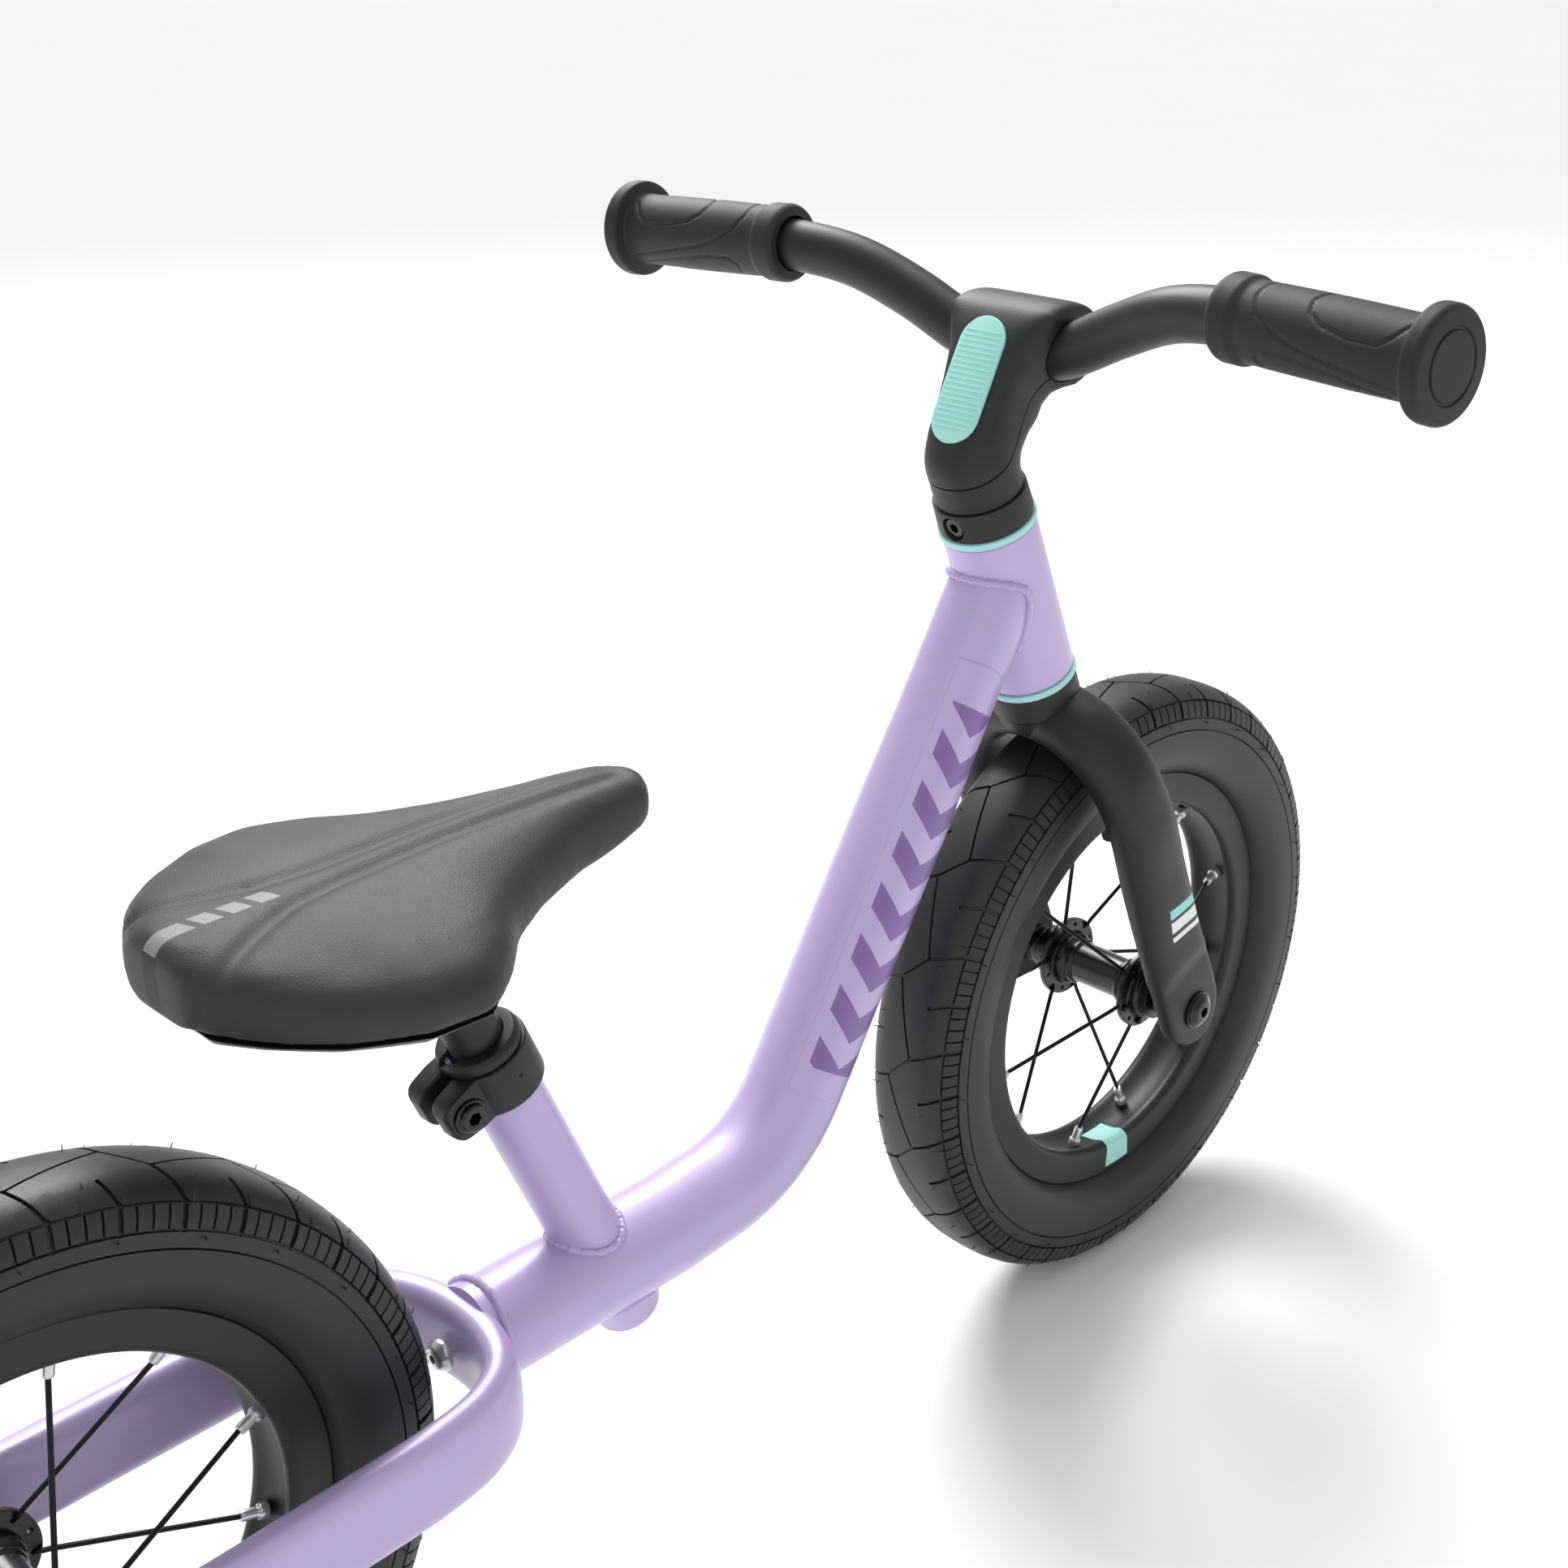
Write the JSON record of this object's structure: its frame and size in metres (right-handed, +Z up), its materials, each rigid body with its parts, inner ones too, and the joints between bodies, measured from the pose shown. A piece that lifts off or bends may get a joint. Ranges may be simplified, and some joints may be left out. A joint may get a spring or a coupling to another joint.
{
  "type": "balance bike",
  "caption": "Small child's two-wheeled push bike with a single main tube, padded saddle on a sliding post, turning fork and swept bar with flanged grips.",
  "frame": {"origin": "centre of the ground footprint, midway between the two axles, on the ground plane", "axes": "+X forward in the direction of travel, +Y to the rider's left, +Z up"},
  "size_m": [0.87, 0.4294, 0.5292],
  "materials": {
    "lilac_paint": "satin pearl lilac paint",
    "mint_plastic": "smooth mint plastic",
    "black_paint": "satin black powder coat",
    "black_plastic": "fine-grained matt black plastic",
    "saddle_skin": "soft matt black synthetic skin",
    "grip_rubber": "matt black rubber",
    "tyre_rubber": "dark grey tread rubber",
    "tube_rubber": "smooth butyl rubber",
    "black_steel": "black plated steel",
    "spoke_steel": "black spoke wire with bright nipples",
    "bright_steel": "bright zinc plated steel"
  },
  "bodies": {
    "frame": {"head_tube": "lilac_paint", "main_tube": "lilac_paint", "seat_tube": "lilac_paint", "stay_loop": "lilac_paint", "bridge_bolt": "bright_steel", "seat_clamp": "black_paint", "seat_clamp_bolt": "black_steel", "post_sleeve": "black_plastic", "head_ring_top": "mint_plastic", "head_ring_bottom": "mint_plastic", "rear_axle": "black_steel", "rear_axle_bolt": "black_steel"},
    "steering": {"fork_crown": "black_paint", "fork_leg_left": "black_paint", "fork_leg_right": "black_paint", "steering_collar": "black_plastic", "collar_bolt": "black_steel", "stem_body": "black_plastic", "stem_cover": "black_plastic", "stem_pad": "mint_plastic", "handlebar": "black_paint", "grip_left": "grip_rubber", "grip_right": "grip_rubber", "front_axle": "black_steel", "front_axle_bolt": "black_steel"},
    "seat": {"saddle_cover": "saddle_skin", "saddle_base": "black_plastic", "seat_post": "black_paint"},
    "rear_wheel": {"rear_tyre": "tyre_rubber", "rear_rim": "black_paint", "rear_inner_tube": "tube_rubber", "rear_hub": "black_steel", "rear_spoke_left_1": "spoke_steel", "rear_spoke_left_2": "spoke_steel", "rear_spoke_left_3": "spoke_steel", "rear_spoke_left_4": "spoke_steel", "rear_spoke_left_5": "spoke_steel", "rear_spoke_left_6": "spoke_steel", "rear_spoke_right_1": "spoke_steel", "rear_spoke_right_2": "spoke_steel", "rear_spoke_right_3": "spoke_steel", "rear_spoke_right_4": "spoke_steel", "rear_spoke_right_5": "spoke_steel", "rear_spoke_right_6": "spoke_steel"},
    "front_wheel": {"front_tyre": "tyre_rubber", "front_rim": "black_paint", "front_inner_tube": "tube_rubber", "front_hub": "black_steel", "front_spoke_left_1": "spoke_steel", "front_spoke_left_2": "spoke_steel", "front_spoke_left_3": "spoke_steel", "front_spoke_left_4": "spoke_steel", "front_spoke_left_5": "spoke_steel", "front_spoke_left_6": "spoke_steel", "front_spoke_right_1": "spoke_steel", "front_spoke_right_2": "spoke_steel", "front_spoke_right_3": "spoke_steel", "front_spoke_right_4": "spoke_steel", "front_spoke_right_5": "spoke_steel", "front_spoke_right_6": "spoke_steel"}
  },
  "joints": [
    {"name": "steering_turn", "type": "hinge", "parent": "frame", "child": "steering", "pos_m": [0.1869, 0, 0.4085], "axis": [-0.3665, 0, 0.9304], "range_deg": [-60, 60]},
    {"name": "front_wheel_spin", "type": "hinge", "parent": "steering", "child": "front_wheel", "pos_m": [0.283, 0, 0.152], "axis": [0, 1, 0], "continuous": true},
    {"name": "rear_wheel_spin", "type": "hinge", "parent": "frame", "child": "rear_wheel", "pos_m": [-0.283, 0, 0.152], "axis": [0, 1, 0], "continuous": true},
    {"name": "seat_height", "type": "slide", "parent": "frame", "child": "seat", "axis": [-0.3746, 0, 0.9272], "range_m": [0, 0.07]}
  ]
}
